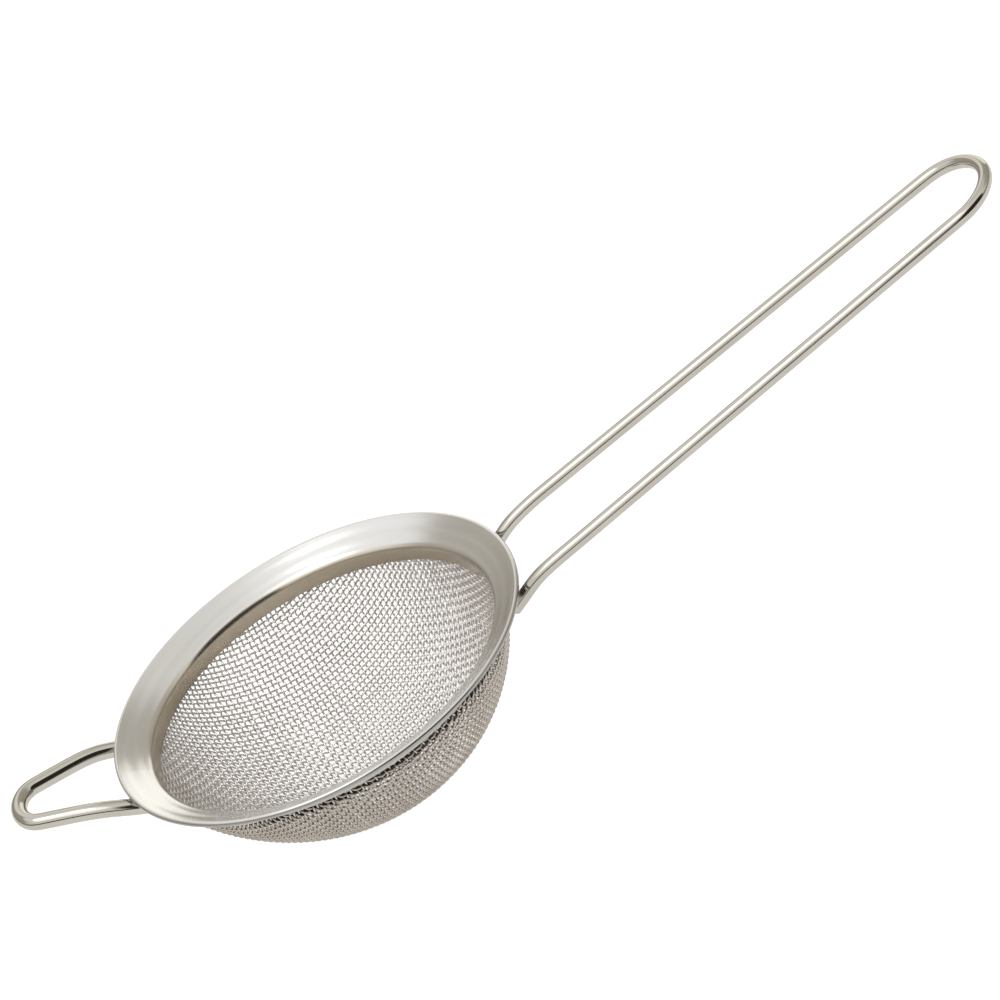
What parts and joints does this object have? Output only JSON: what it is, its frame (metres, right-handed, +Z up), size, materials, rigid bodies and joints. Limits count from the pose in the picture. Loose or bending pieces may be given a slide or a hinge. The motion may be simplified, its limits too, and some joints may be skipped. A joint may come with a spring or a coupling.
{
  "type": "tea strainer",
  "caption": "Hand-held tea strainer with a conical steel rim, a woven wire bowl, a long hairpin handle and a short rest ear.",
  "frame": {"origin": "centre of the rim, level with the top of its rolled lip", "axes": "+Z up, out of the bowl's mouth; +X from the rim's centre along the handle; the rest ear lies near -X"},
  "size_m": [0.2051, 0.08, 0.0509],
  "materials": {
    "brushed_rim_steel": "satin, brushed round the rim",
    "woven_wire": "drawn wire, half bright",
    "plain_steel": "plain strip, dull",
    "bright_wire": "polished round wire"
  },
  "bodies": {
    "root": {"rim_flange": "brushed_rim_steel", "mesh_bowl": "woven_wire", "mesh_retaining_ring": "plain_steel", "handle_wire": "bright_wire", "rest_ear_wire": "bright_wire"}
  },
  "joints": []
}
